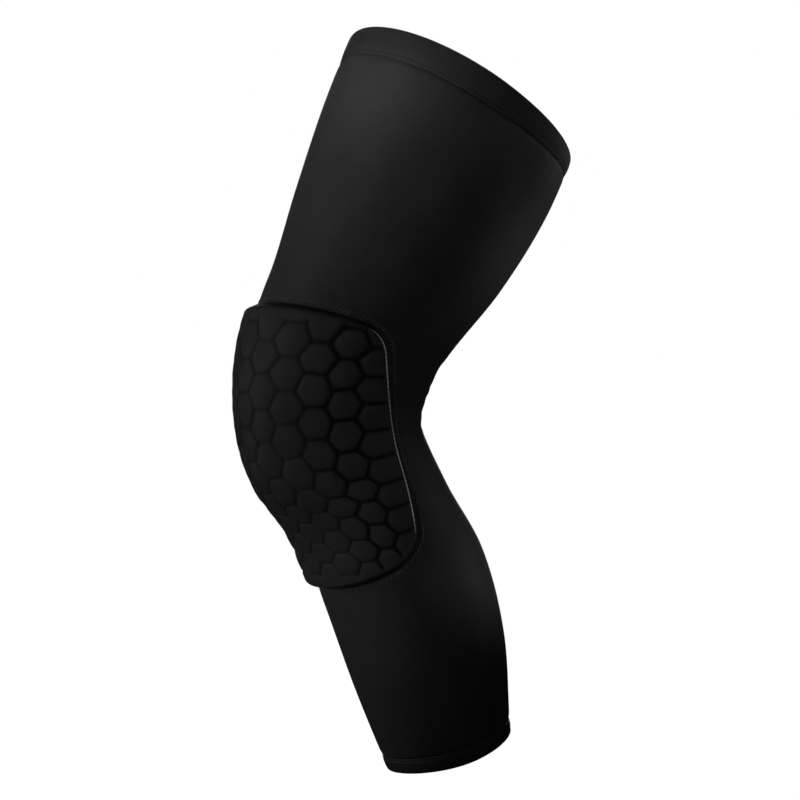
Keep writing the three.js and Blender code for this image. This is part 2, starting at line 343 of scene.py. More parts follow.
def new_material(name):
    """A material, its node tree and its shader."""
    material = bpy.data.materials.new(name)
    material.use_nodes = True
    return material, material.node_tree, material.node_tree.nodes["Principled BSDF"]


def uneven_finish(tree, colour, roughness):
    """A colour and a roughness that drift over the piece."""
    inputs = {"Place": output_of(tree, "ShaderNodeTexCoord", output="Object"), "Amount": UNEVENNESS}
    tone = add_node(tree, "ShaderNodeGroup", inputs, node_tree=uneven_tone).outputs
    return scaled(tree, colour, tone["Tone"]), math_node(tree, "MULTIPLY", tone["Gloss"], roughness)


# %% Cloth materials
# The last column names a field of painted shade for the finish, darker where less light gets in.
FINISH_COLUMNS = ("colour", "roughness", "gloss", "sheen", "bump", "shade")
FINISHES = {
    "knit": ((0.026, 0.026, 0.027), 0.72, 0.25, 0.05, 0.10, None),
    "hem": ((0.0195, 0.0195, 0.0205), 0.74, 0.25, 0.05, 0.14, None),
    "pad": ((0.0310, 0.0300, 0.0345), 0.66, 0.15, 0.02, 0.12, "groove"),
}
SHADED_ROUGHNESS = 0.3
LOOP_HEIGHT = 0.12 * MM
SHEEN_ROUGHNESS = 0.4


def cloth_material(name, colour, roughness, gloss, sheen, bump, shade):
    """A knit finish. The field that shade names, if any, holds painted shade, which darkens and dulls it."""
    material, tree, shader = new_material(name)
    base_colour, dull = uneven_finish(tree, colour, roughness)
    if shade:
        lost = output_of(tree, "ShaderNodeAttribute", output="Fac", attribute_name=shade)
        base_colour = scaled(tree, base_colour, math_node(tree, "SUBTRACT", 1.0, lost))
        dull = math_node(tree, "MULTIPLY_ADD", lost, SHADED_ROUGHNESS, dull)
    stitches = output_of(tree, "ShaderNodeUVMap", uv_map="stitches")
    loops = output_of(tree, "ShaderNodeGroup", node_tree=knit_loops, inputs={"Stitches": stitches})
    relief = output_of(tree, "ShaderNodeBump", {"Strength": bump, "Distance": LOOP_HEIGHT, "Height": loops})
    feed(tree, shader, {
        "Base Color": base_colour,
        "Roughness": dull,
        "Normal": relief,
        "Specular IOR Level": gloss,
        "Sheen Weight": sheen,
        "Sheen Roughness": SHEEN_ROUGHNESS,
    })
    return material


cloths = {name: cloth_material(name, **dict(zip(FINISH_COLUMNS, row))) for name, row in FINISHES.items()}
print("cloth materials:", sorted(cloths))

# %% [markdown]
# ## Where the pad lies
# The pad is cut flat and then wrapped round the knee. Its pattern has one coordinate across, round the leg,
# and one along it. Over the front the foam gives less than the bend asks, so the pattern is eased there. The
# edges of the outline are bowed and run on smoothly into round corners. A Bezier curve object could draw it,
# but the rim needs evenly spaced points, so quadratic curves between a few places are worked out here.

# %% Where the pad lies
PAD_WRAP_RADIUS = 50 * MM
PAD_STATION = -36 * MM
PAD_EASE_SHARE = 0.13
PAD_EASE_LEVEL = 20 * MM


def pad_place(across, along):
    """Station and angle on the leg of a place in the pad's flat pattern."""
    angle = across / PAD_WRAP_RADIUS
    eased = along - PAD_EASE_SHARE * np.cos(angle) * (along - PAD_EASE_LEVEL)
    return PAD_STATION + eased, angle


def pattern_place(station, angle):
    """The place in the flat pattern of a station and angle on the leg, the other way round."""
    share = PAD_EASE_SHARE * np.cos(angle)
    along = (station - PAD_STATION - share * PAD_EASE_LEVEL) / (1 - share)
    return np.stack([angle * PAD_WRAP_RADIUS, along], axis=-1)


# %% Outline of the pad
PAD_TOP = {"level": 81.5 * MM, "half": 81 * MM, "corner": 18 * MM, "arch": 5 * MM}
PAD_FOOT = {"level": -78 * MM, "half": 84 * MM, "corner": 25 * MM, "arch": 14 * MM}
PAD_SIDE_BOW = 6 * MM
CURVE_STEPS = 200
OUTLINE_SPACING = 0.8 * MM


def crossing(end, bow, other_end, other_bow):
    """Where two edges would meet if each ran on straight past its end, away from where it bows to."""
    ways = np.stack([np.subtract(end, bow), np.subtract(other_bow, other_end)], axis=-1)
    share = np.linalg.solve(ways, np.subtract(other_end, end))[0]
    return tuple(end + share * ways[:, 0])


def pad_outline():
    """Evenly spaced points of the pad's outline in the flat pattern, going round to the left."""
    top, foot = PAD_TOP, PAD_FOOT
    top_arch = (0, top["level"] + 2 * top["arch"])
    foot_arch = (0, foot["level"] - 2 * foot["arch"])
    top_end = (top["half"] - top["corner"], top["level"])
    foot_end = (foot["half"] - foot["corner"], foot["level"])
    side_top = (top["half"], top["level"] - top["corner"])
    side_foot = (foot["half"], foot["level"] + foot["corner"])
    side_bow = ((top["half"] + foot["half"]) / 2 + 2 * PAD_SIDE_BOW, (side_top[1] + side_foot[1]) / 2)
    top_corner = crossing(top_end, top_arch, side_top, side_bow)
    foot_corner = crossing(foot_end, foot_arch, side_foot, side_bow)
    right = [foot_end, foot_corner, side_foot, side_bow, side_top, top_corner, top_end]
    left = [(-across, along) for across, along in reversed(right)]
    knots = np.array(right + [top_arch] + left + [foot_arch, foot_end])
    t = np.linspace(0, 1, CURVE_STEPS, endpoint=False)[:, None]
    curves = [
        (1 - t) ** 2 * knots[i] + 2 * t * (1 - t) * knots[i + 1] + t**2 * knots[i + 2]
        for i in range(0, len(knots) - 2, 2)
    ]
    fine = np.concatenate(curves + [knots[:1]])
    run = np.concatenate([[0], np.cumsum(np.hypot(*np.diff(fine, axis=0).T))])
    count = round(run[-1] / OUTLINE_SPACING)
    even = np.linspace(0, run[-1], count, endpoint=False)
    return np.stack([np.interp(even, run, fine[:, 0]), np.interp(even, run, fine[:, 1])], axis=-1)


outline = pad_outline()
outline_ahead = np.roll(outline, -1, axis=0) - np.roll(outline, 1, axis=0)
outline_ahead /= np.linalg.norm(outline_ahead, axis=1, keepdims=True)
outline_out = np.stack([outline_ahead[:, 1], -outline_ahead[:, 0]], axis=-1)
print("pad outline", len(outline), "points,", round(len(outline) * OUTLINE_SPACING / MM), "mm round")

# %% [markdown]
# ## Sleeve
# The sleeve is one tube of knit, open at both ends. It could be draped by a cloth simulation, but a
# compression sleeve is stretched so tight that it lies on the leg all over, so its form is the leg's own.
# What makes it cloth is small and is modelled: it dips and puckers where it is sewn to the hems, sinks under
# the edge of the pad in short pulls, and creases lightly behind the bent knee.

# %% Sleeve relief beside the seams
THIGH_SEAM = {"front": 211 * MM, "side": 205 * MM, "back": 210 * MM}
CALF_SEAM = {"front": -238 * MM, "side": -242 * MM, "back": -244 * MM}
SEAM_DIP = 1.1 * MM
SEAM_DIP_REACH = 1.6 * MM
PUCKER_HEIGHT = 0.16 * MM
PUCKER_REACH = 7 * MM
PUCKER_LENGTH = 8 * MM
PUCKER_SHIFT = {"size": 1.5, "waves": 5}
PUCKER_SWELL = {"size": 0.25, "waves": 7, "start": 1}


def edge_station(edge, angle):
    """The station of a seam or rim round the leg, from its stations at the front, sides and back."""
    level = (edge["front"] + edge["back"] + 2 * edge["side"]) / 4
    tilt = (edge["front"] - edge["back"]) / 2
    wave = (edge["front"] + edge["back"] - 2 * edge["side"]) / 4
    return level + tilt * np.cos(angle) + wave * np.cos(2 * angle)


def pucker(angle, seam):
    """Uneven gathers along a seam, from -1 to 1."""
    waves = round(2 * math.pi * leg_reach(np.array(seam["side"]))[2] / PUCKER_LENGTH)
    shift = PUCKER_SHIFT["size"] * np.sin(PUCKER_SHIFT["waves"] * angle)
    swell = PUCKER_SWELL["size"] * np.sin(PUCKER_SWELL["waves"] * angle + PUCKER_SWELL["start"])
    return np.sin(waves * angle + shift) * (1 - PUCKER_SWELL["size"] + swell)


def seam_relief(station, angle, seam):
    """How the cloth dips into a hem's seam and gathers beside it."""
    distance = np.abs(station - edge_station(seam, angle))
    gathers = PUCKER_HEIGHT * np.exp(-distance / PUCKER_REACH) * pucker(angle, seam)
    return gathers - SEAM_DIP * np.exp(-distance / SEAM_DIP_REACH)


# %% Sleeve relief round the pad and behind the knee
PAD_SINK_FROM = 2 * MM
PAD_SINK = 0.45 * MM
PAD_SINK_REACH = 4 * MM
PAD_RIPPLE = 0.3
KNEE_CREASES = (-27 * MM, -13 * MM, 1 * MM, 16 * MM)
CREASE_DEPTH = 0.7 * MM
CREASE_WIDTH = 4 * MM
CREASE_BOW = 5 * MM
CREASE_FADE = 4
PLACES_AT_ONCE = 2000


def outline_distance(places):
    """Distance outwards from the pad's outline, negative inside it, and which of its points is nearest."""
    distance = []
    nearest = []
    for part in np.array_split(places, len(places) // PLACES_AT_ONCE + 1):
        gap = part[:, None, :] - outline[None]
        index = np.argmin((gap**2).sum(-1), axis=1)
        distance.append((gap[np.arange(len(part)), index] * outline_out[index]).sum(-1))
        nearest.append(index)
    return np.concatenate(distance), np.concatenate(nearest)


def pad_relief(station, angle):
    """How the cloth sinks beneath the pad and is pulled into short ripples round it."""
    turned = (angle + math.pi) % (2 * math.pi) - math.pi
    places = pattern_place(station, turned).reshape(-1, 2)
    distance, nearest = outline_distance(places)
    outside = np.maximum(distance - PAD_SINK_FROM, 0)
    fade = np.exp(-outside / PAD_SINK_REACH)
    run = nearest * OUTLINE_SPACING
    ripple = PAD_RIPPLE * np.sin(2 * math.pi * run / PUCKER_LENGTH) * (outside > 0)
    return (-PAD_SINK * fade * (1 - ripple)).reshape(station.shape)


def crease_relief(station, angle):
    """Shallow creases behind the bent knee, strongest in the middle of its back."""
    behind = np.clip(-np.cos(angle), 0, 1) ** CREASE_FADE
    total = np.zeros_like(station)
    for number, level in enumerate(KNEE_CREASES):
        bowed = level + CREASE_BOW * np.sin(2 * angle + number) * (1 - behind)
        total -= np.exp(-(((station - bowed) / CREASE_WIDTH) ** 2))
    return CREASE_DEPTH * behind * total


# %% Sleeve mesh
SLEEVE_WALL = 1.2 * MM
SLEEVE_COLUMNS = 208
SLEEVE_ROWS = 200
LINING_ROWS = 60
WALES_ROUND = 820
COURSE_PITCH = 0.5 * MM


def sleeve_rings(rows):
    """Stations and angles of rings from the thigh seam down to the calf seam, closer near the seams."""
    even = np.linspace(0, 1, rows)
    share = (even + (1 - np.cos(math.pi * even)) / 2) / 2
    angle = np.linspace(0, 2 * math.pi, SLEEVE_COLUMNS, endpoint=False)
    top = edge_station(THIGH_SEAM, angle)
    foot = edge_station(CALF_SEAM, angle)
    station = top[None] + share[:, None] * (foot - top)[None]
    return station, np.broadcast_to(angle, station.shape)


def make_sleeve():
    """The knit's outside with its relief, and a plainer lining, closed into one wall at both ends."""
    station, angle = sleeve_rings(SLEEVE_ROWS)
    relief = seam_relief(station, angle, THIGH_SEAM) + seam_relief(station, angle, CALF_SEAM)
    relief += pad_relief(station, angle) + crease_relief(station, angle)
    inside_station, inside_angle = sleeve_rings(LINING_ROWS)
    inside_station = inside_station[::-1]
    inside_relief = seam_relief(inside_station, inside_angle, THIGH_SEAM)
    inside_relief += seam_relief(inside_station, inside_angle, CALF_SEAM)
    outside = leg_point(station, angle, relief)
    inside = leg_point(inside_station, inside_angle, np.minimum(inside_relief, 0) - SLEEVE_WALL)
    points = np.concatenate([outside, inside])
    levels = np.concatenate([station, inside_station]) / COURSE_PITCH
    faces = ring_faces(len(points), SLEEVE_COLUMNS)
    return make_piece("sleeve_cloth", points, faces, ring_stitch_counts(levels, WALES_ROUND))


sleeve_cloth = make_sleeve()
dress(sleeve_cloth, "sleeve", cloths["knit"])

# %% [markdown]
# ## Hems
# Each end of the sleeve is turned in and sewn down with a twin needle, which makes a doubled band with a soft
# fold at its rim and two stitched channels beside the seam. A bevelled tube would be too regular, so the
# band's section is a short table from the seam to the rim and back inside, carried round the leg.

# %% Hems
THIGH_RIM = {"front": 230 * MM, "side": 223 * MM, "back": 219 * MM}
CALF_RIM = {"front": -248 * MM, "side": -252 * MM, "back": -251 * MM}
HEM_COLUMNS = 320
GATHER_MIDDLE = 0.19
GATHER_REACH = 0.25
HEM_FACE_LIFT = -1

# Share of the way from the seam to the rim, and lift off the leg in mm, going round the band's section.
HEM_SECTION = [
    (0.012, -1.10), (0.020, -0.90), (0.040, -0.55), (0.065, -0.30), (0.095, -0.16),
    (0.130, -0.12), (0.158, -0.16), (0.180, -0.26), (0.205, -0.26), (0.228, -0.12),
    (0.265, 0.06), (0.320, 0.20), (0.420, 0.32), (0.560, 0.36), (0.700, 0.34),
    (0.820, 0.28), (0.900, 0.18), (0.985, 0.04), (1.020, -0.16), (1.042, -0.44),
    (1.050, -0.76), (1.042, -1.08), (1.020, -1.34), (0.985, -1.52), (0.920, -1.60),
    (0.600, -1.62), (0.200, -1.62), (-0.100, -1.60), (-0.100, -1.36), (0.012, -1.34),
]


def make_hem(name, seam, band_rim):
    """A band from its seam to its rim. Rings go from the top down, so the thigh's are turned over."""
    angle = np.linspace(0, 2 * math.pi, HEM_COLUMNS, endpoint=False)[None]
    share, lift = np.array(HEM_SECTION).T[:, :, None]
    seam_line = edge_station(seam, angle)
    rim_line = edge_station(band_rim, angle)
    station = seam_line + share * (rim_line - seam_line)
    gathered = np.exp(-np.abs(share - GATHER_MIDDLE) / GATHER_REACH) * (lift > HEM_FACE_LIFT)
    swollen = lift * MM + PUCKER_HEIGHT * gathered * pucker(angle, seam)
    points = leg_point(station, angle, swollen)
    if band_rim["front"] > seam["front"]:
        points = points[::-1]
        station = station[::-1]
    faces = ring_faces(len(points), HEM_COLUMNS)
    return make_piece(name, points, faces, ring_stitch_counts(station / COURSE_PITCH, WALES_ROUND))


thigh_hem = make_hem("thigh_hem", THIGH_SEAM, THIGH_RIM)
calf_hem = make_hem("calf_hem", CALF_SEAM, CALF_RIM)
dress(thigh_hem, "thigh_band", cloths["hem"])
dress(calf_hem, "calf_band", cloths["hem"])

# %% [markdown]
# ## Pad blank
# Before its cells are pressed, the pad is a smooth slab of foam. Its wall leans in from a foot that is tucked
# under, and a round shoulder leads on to the top. A bevel modifier would round the foot too, so the rim is
# worked out row by row from the lean and the radius and drawn as rings of the outline. Inside the last ring a
# lattice of points is triangulated, fine enough to take the grooves. Each point keeps what the press will ask
# for, in named fields: its place in the pattern, the way out, and how much of the pressing it takes.

# %% Rim of the pad
PAD_HEIGHT = 7 * MM
END_LEAN = math.radians(34)
SIDE_LEAN = math.radians(26)
WALL_ROWS = 6
FOOT_TUCK = 0.9 * MM
FOOT_LIFT = 0.9 * MM
SHOULDER_STEP = -3.7 * MM
SHOULDER_RADIUS = 2.6 * MM
SHOULDER_ROWS = 9
BORDER_ROWS = 2
BORDER_PITCH = 0.6 * MM

# Two rows under the foot: how far inside and below it they lie, as shares of its tuck and its lift.
TUCKED_ROWS = np.array([(1, 1), (0.2, 0.5)])

shoulder_lift = PAD_HEIGHT - SHOULDER_RADIUS
wall_lean = SIDE_LEAN + (END_LEAN - SIDE_LEAN) * outline_out[:, 1] ** 2


def pad_rim():
    """Rows of the rim, foot to top, at each point of the outline: step outwards and lift off the sleeve."""
    turn = np.linspace(1, 0, SHOULDER_ROWS)[:, None] * (math.pi / 2 - wall_lean)
    arc_middle = np.array([SHOULDER_STEP, shoulder_lift])
    arc = arc_middle + SHOULDER_RADIUS * np.stack([np.sin(turn), np.cos(turn)], axis=-1)
    foot_step = arc[0, :, 0] + (arc[0, :, 1] - FOOT_LIFT) * np.tan(wall_lean)
    foot = np.stack([foot_step, np.full(len(outline), FOOT_LIFT)], axis=-1)
    tucked = foot - (TUCKED_ROWS * (FOOT_TUCK, FOOT_LIFT))[:, None]
    up_wall = np.linspace(0, 1, WALL_ROWS, endpoint=False)[:, None, None]
    wall = foot + (arc[0] - foot) * up_wall
    inwards = np.arange(1, BORDER_ROWS + 1)[:, None, None]
    border = arc[-1] - np.array([BORDER_PITCH, 0]) * inwards
    return np.concatenate([tucked, wall, arc, border])


rim = pad_rim()
foot_steps = rim[len(TUCKED_ROWS), :, :1]
print("rim of", len(rim), "rows, foot", np.round(foot_steps.max() / MM, 1), "mm outside the outline")

# %% Filling a ring
LATTICE_PITCH = 0.68 * MM
UNDERSIDE_PITCH = 4 * MM
LATTICE_HALF = {"across": 100 * MM, "along": 110 * MM}
LATTICE_MARGIN = 0.6
INSIDE_ONLY = 1
SAME_PLACE = 1e-9


def filled_ring(ring, pitch):
    """A ring of places in the flat pattern filled with a lattice: all places, ring first, and triangles."""
    across = np.arange(-LATTICE_HALF["across"], LATTICE_HALF["across"], pitch)
    rows = np.arange(-LATTICE_HALF["along"], LATTICE_HALF["along"], pitch * math.sqrt(3) / 2)
    lattice = np.array([(a + pitch / 2 * (n % 2), along) for n, along in enumerate(rows) for a in across])
    distance, nearest = outline_distance(lattice)
    ring_step = ((ring - outline) * outline_out).sum(-1)
    lattice = lattice[distance < ring_step[nearest] - LATTICE_MARGIN * pitch]
    places = [Vector(place) for place in np.concatenate([ring, lattice])]
    filled = delaunay_2d_cdt(places, [], [list(range(len(ring)))], INSIDE_ONLY, SAME_PLACE)
    return np.array(filled[0]), filled[2]


# %% Pad blank
PAD_STITCH_PITCH = 0.55 * MM
PRESS_FADE = (2.8 * MM, 4.4 * MM)
STRETCHED_DEPTH = 0.42
STRETCHED_TO = (32 * MM, 54 * MM)


def add_field(mesh, label, values):
    """A named number or vector at each point of a mesh."""
    kind, key = ("FLOAT_VECTOR", "vector") if values.ndim == 2 else ("FLOAT", "value")
    field = mesh.attributes.new(label, kind, "POINT")
    field.data.foreach_set(key, values.astype(np.float32).ravel())


def make_pad_blank():
    """The smooth pad, and the fields that its points keep for the press."""
    rings = outline + outline_out * rim[:, :, :1]
    count = len(outline)
    top_places, top_faces = filled_ring(rings[-1], LATTICE_PITCH)
    under_places, under_faces = filled_ring(rings[0], UNDERSIDE_PITCH)
    rim_places = np.concatenate(rings[1:-1])
    rim_lift = rim[1:-1, :, 1].ravel()
    places = np.concatenate([under_places, rim_places, top_places])
    lift = np.concatenate([np.zeros(len(under_places)), rim_lift, np.full(len(top_places), PAD_HEIGHT)])
    first_rim = len(under_places)
    first_top = first_rim + len(rim_places)
    starts = [0] + [first_rim + n * count for n in range(len(rim) - 2)] + [first_top]
    here = np.arange(count)
    beside = (here + 1) % count
    bands = [
        np.stack([outer + here, outer + beside, inner + beside, inner + here], axis=-1)
        for outer, inner in zip(starts, starts[1:])
    ]
    faces = [list(reversed(face)) for face in under_faces]
    faces += [list(face) for face in np.concatenate(bands)]
    faces += [[first_top + corner for corner in face] for face in top_faces]
    station, angle = pad_place(places[:, 0], places[:, 1])
    counts = places[np.concatenate(faces)] / PAD_STITCH_PITCH
    piece = make_piece("honeycomb_pad", leg_point(station, angle, lift), faces, counts)
    inside = -outline_distance(places)[0]
    fields = {
        "pattern": np.column_stack([places, np.zeros(len(places))]),
        "outward": leg_outward(station, angle),
        # How far down the wall a point lies, for the painted shade on the wall.
        "low": np.clip((PAD_HEIGHT - lift) / SHOULDER_RADIUS, 0, 1),
        "pressed": np.interp(inside, PRESS_FADE, (0, 1)) * (lift > shoulder_lift),
        "inset": np.maximum(inside + SHOULDER_STEP, 0),
        "tight": np.interp(np.abs(places[:, 0]), STRETCHED_TO, (STRETCHED_DEPTH, 1)),
    }
    for label, values in fields.items():
        add_field(piece.data, label, values)
    return piece, list(fields)


honeycomb_pad, pad_fields = make_pad_blank()
print("fields:", pad_fields)

# %% [markdown]
# ## Grooves of the honeycomb
# The cells are six-sided with their flats up and down. Only the lines between them are needed: each is a side
# that two cells share. The outer rows are left joined into a smooth border, and the level grooves of the last
# columns run on to the edge of the pad. Each corner is moved a little at random, from a fixed seed, because
# stretched foam never keeps a ruled pattern.

# %% Grooves of the honeycomb
CELL_ACROSS_FLATS = 17.3 * MM
CELL_REACH = CELL_ACROSS_FLATS / math.sqrt(3)
GROOVED_COLUMNS = 5
GROOVED_HALF_ROWS = 8
GROOVE_END_INSET = 0.5 * MM
OUTER_PULL = 0.2
COLUMN_PITCH_SHARE = 1.5
CELL_MIDDLE = -1 * MM
CELL_WOBBLE = 0.8 * MM
WOBBLE_SEED = 7

# Ways from a cell to three of its neighbours, in columns and half rows. Way n leaves over side n.
CELL_WAYS = [(1, 1), (0, 2), (-1, 1)]


def cell_corner(column, half_row, corner):
    """A corner of a cell in the flat pattern. Corner 0 points to the right."""
    turn = corner * math.pi / 3
    across = column * CELL_REACH * COLUMN_PITCH_SHARE + CELL_REACH * math.cos(turn)
    along = CELL_MIDDLE + half_row * CELL_ACROSS_FLATS / 2 + CELL_REACH * math.sin(turn)
    return across, along


def is_grooved(one, other):
    """A groove parts two cells of the grooved columns where at least one of them is in the grooved rows."""
    in_columns = all(abs(column) <= GROOVED_COLUMNS for column, _ in (one, other))
    in_rows = any(abs(half_row) <= GROOVED_HALF_ROWS for _, half_row in (one, other))
    return in_columns and in_rows


def run_to_edge(end):
    """Carries the end of a level groove outwards until it is just short of the pad's edge."""
    side = 1 if end[0] > 0 else -1
    outer = outline[outline[:, 0] * side > 0]
    edge = outer[np.argmin(np.abs(outer[:, 1] - end[1]) - OUTER_PULL * np.abs(outer[:, 0]))]
    return (edge[0] - side * GROOVE_END_INSET, end[1])


# %% Lines of the grooves
def groove_lines():
    """An object that holds the grooves as bare edges in the flat pattern."""
    ends = []
    for column in range(-GROOVED_COLUMNS, GROOVED_COLUMNS + 1):
        for half_row in range(-GROOVED_HALF_ROWS - 2, GROOVED_HALF_ROWS + 1):
            if (column + half_row) % 2:
                continue
            for side, (right, up) in enumerate(CELL_WAYS):
                if not is_grooved((column, half_row), (column + right, half_row + up)):
                    continue
                line = [cell_corner(column, half_row, corner) for corner in (side, side + 1)]
                if right == 0 and column == GROOVED_COLUMNS:
                    line[0] = run_to_edge(line[0])
                if right == 0 and column == -GROOVED_COLUMNS:
                    line[1] = run_to_edge(line[1])
                ends += line
    corners, which = np.unique(np.round(ends, 6), axis=0, return_inverse=True)
    corners += np.random.default_rng(WOBBLE_SEED).uniform(-CELL_WOBBLE, CELL_WOBBLE, corners.shape)
    mesh = bpy.data.meshes.new("grooves")
    points = [(across, along, 0) for across, along in corners]
    mesh.from_pydata(points, which.reshape(-1, 2).tolist(), [])
    return bpy.data.objects.new("grooves", mesh)


grooves = groove_lines()
print("grooves:", len(grooves.data.edges))

# %% [markdown]
# ## Pressing the cells
# A mould presses the grooves into the foam and leaves the cells as soft pillows. Geometry Nodes do the same:
# each point asks how far its place in the flat pattern is from the nearest groove, and moves down into the
# groove or up on to the pillow. Where grooves meet, the press leaves a small pit. Over the kneecap the foam
# is stretched, so the grooves there are narrower and shallower. A blur of the move rounds the edges as foam
# under cloth does. The tree also marks the grooves and the wall, where less light gets in, for the finish to
# darken.

# %% Helpers for geometry trees
def geometry_tree(name, inputs):
    """A tree from geometry to geometry, with a material and inputs of its own."""
    geometry = {"Geometry": "NodeSocketGeometry"}
    inputs = {**geometry, **inputs, "Material": "NodeSocketMaterial"}
    return new_tree(name, "GeometryNodeTree", inputs, geometry)


def named_field(tree, label, kind="FLOAT"):
    """A field that the points keep."""
    return output_of(tree, "GeometryNodeInputNamedAttribute", {"Name": label}, "Attribute", data_type=kind)


def end_tree(tree, geometry, given, made):
    """Makes everything in a tree real mesh with its material, and puts it out."""
    solid = output_of(tree, "GeometryNodeRealizeInstances", {"Geometry": geometry})
    inputs = {"Geometry": solid, "Material": given["Material"]}
    tree.links.new(output_of(tree, "GeometryNodeSetMaterial", inputs), made["Geometry"])


def settle(piece, tree, values):
    """Runs a tree on a piece with values for its named inputs, and keeps the result as the piece's mesh."""
    modifier = piece.modifiers.new(tree.name, "NODES")
    modifier.node_group = tree
    for item in tree.interface.items_tree:
        if item.in_out == "INPUT" and item.name in values:
            modifier[item.identifier] = values[item.name]
    bpy.context.view_layer.update()
    evaluated = piece.evaluated_get(bpy.context.evaluated_depsgraph_get())
    made = bpy.data.meshes.new_from_object(evaluated)
    piece.modifiers.remove(modifier)
    blank = piece.data
    piece.data = made
    bpy.data.meshes.remove(blank)
    print(piece.name, "after", tree.name, len(made.vertices), "points", len(made.polygons), "faces")


# %% Honeycomb press
def honeycomb_press_tree():
    sizes = ("Pit", "Floor", "Shoulder", "Depth", "Pillow", "Pillow Reach", "Groove Shade", "Wall Shade")
    inputs = {"Grooves": "NodeSocketObject", "Softness": "NodeSocketInt"}
    inputs.update(dict.fromkeys(sizes, "NodeSocketFloat"))
    tree, given, made = geometry_tree("Honeycomb press", inputs)
    tight = named_field(tree, "tight")
    pressed = named_field(tree, "pressed")
    lines = output_of(tree, "GeometryNodeObjectInfo", {"Object": given["Grooves"]}, "Geometry")

    def nearest(element):
        inputs = {"Geometry": lines, "Sample Position": named_field(tree, "pattern", "FLOAT_VECTOR")}
        return output_of(tree, "GeometryNodeProximity", inputs, "Distance", target_element=element)

    def rise(value, near, far, shape, near_level, far_level):
        inputs = {"Value": value, 1: near, 2: far, 3: near_level, 4: far_level}
        return output_of(tree, "ShaderNodeMapRange", inputs, "Result", interpolation_type=shape)

    from_pits = math_node(tree, "SUBTRACT", nearest("POINTS"), given["Pit"])
    distance = math_node(tree, "MAXIMUM", math_node(tree, "MINIMUM", nearest("EDGES"), from_pits), 0.0)
    half_floor = math_node(tree, "MULTIPLY", math_node(tree, "MULTIPLY", given["Floor"], 0.5), tight)
    brow = math_node(tree, "ADD", half_floor, given["Shoulder"])
    short = rise(distance, half_floor, brow, "LINEAR", 1.0, 0.0)
    short_squared = math_node(tree, "POWER", short, 2.0)
    round_share = math_node(tree, "SQRT", math_node(tree, "SUBTRACT", 1.0, short_squared))
    depth = math_node(tree, "MULTIPLY", given["Depth"], tight)
    wall = math_node(tree, "MULTIPLY", round_share, depth)
    from_sides = math_node(tree, "MINIMUM", distance, named_field(tree, "inset"))
    crown = rise(from_sides, 0.0, given["Pillow Reach"], "SMOOTHSTEP", 0.0, given["Pillow"])
    move = math_node(tree, "ADD", math_node(tree, "SUBTRACT", wall, depth), crown)
    weighted = math_node(tree, "MULTIPLY", move, pressed)
    blur = {"Value": weighted, "Iterations": given["Softness"], "Weight": pressed}
    softened = output_of(tree, "GeometryNodeBlurAttribute", blur)
    offset = scaled(tree, named_field(tree, "outward", "FLOAT_VECTOR"), softened)
    # Painted shade: the groove floors and the wall are stored in the groove field, which darkens the finish
    # where less light gets in.
    deep = math_node(tree, "MULTIPLY", math_node(tree, "MULTIPLY", short_squared, tight), pressed)
    in_groove = math_node(tree, "MULTIPLY", deep, given["Groove Shade"])
    on_wall = math_node(tree, "MULTIPLY", named_field(tree, "low"), given["Wall Shade"])
    shaded = math_node(tree, "MAXIMUM", in_groove, on_wall)
    mark = {"Geometry": given["Geometry"], "Name": "groove", "Value": shaded}
    marked = output_of(tree, "GeometryNodeStoreNamedAttribute", mark, data_type="FLOAT")
    moved = output_of(tree, "GeometryNodeSetPosition", {"Geometry": marked, "Offset": offset})
    end_tree(tree, moved, given, made)
    return tree


# %% Pressing the cells
settle(honeycomb_pad, honeycomb_press_tree(), {
    "Grooves": grooves,
    "Pit": 0.8 * MM,
    "Floor": 1.0 * MM,
    "Shoulder": 1.8 * MM,
    "Depth": 2.8 * MM,
    "Pillow": 0.6 * MM,
    "Pillow Reach": 8 * MM,
    "Softness": 1,
    "Groove Shade": 0.75,
    "Wall Shade": 0.92,
    "Material": cloths["pad"],
})
for label in pad_fields:
    honeycomb_pad.data.attributes.remove(honeycomb_pad.data.attributes[label])
bpy.data.objects.remove(grooves)
dress(honeycomb_pad, "knee_pad", cloths["pad"])

# %% [markdown]
# ## Side edges of the pad
# Down its two sides the foam is cut flush, and the rounded shoulder there shows a pale, faintly beaded line
# of highlight. That highlight is painted: a pale colour on a piece of its own. It could be a second material
# on the pad, but as a piece of its own it keeps a clean line: a thin strip with a curved section that follows
# the outline, lies a little proud of the shoulder, narrows between its beads and tapers into the pad at both
# ends.

# %% Painted highlight of the side edges
# Painted highlight: a pale colour stands in for the light that the rounded side edges catch.
EDGE_HIGHLIGHT_COLOUR = (0.70, 0.70, 0.71)
EDGE_ROUGHNESS = 0.32


def edge_material():
    material, tree, shader = new_material("painted_edge_highlight")
    pale, dull = uneven_finish(tree, EDGE_HIGHLIGHT_COLOUR, EDGE_ROUGHNESS)
    feed(tree, shader, {"Base Color": pale, "Roughness": dull})
    return material


painted_edge_highlight = edge_material()
print("edge material:", painted_edge_highlight.name)

# %% Side edges of the pad
EDGE_ROWS = 9
EDGE_PROUD = 0.18 * MM
EDGE_SUNK = 0.35 * MM
EDGE_ENDS = {"across": 66 * MM, "along": -57 * MM}
EDGE_TAPER = 14 * MM
EDGE_TIP = 0.08
BEAD_LENGTH = 3.3 * MM
BEAD_WAIST = 0.45
CORNER_TURN = (0.4, 0.8)

# Rows of the rim that the strip covers: from the first on a side, or at a top corner, up to the last.
EDGE_FIRST = 9.4
EDGE_FIRST_AT_CORNER = 6.0
EDGE_LAST = 13.2


def rim_at(row, chosen):
    """Step and lift between the rows of the rim, at chosen points of the outline."""
    below = np.floor(row).astype(int)
    part = (row - below)[..., None]
    return rim[below, chosen] * (1 - part) + rim[below + 1, chosen] * part


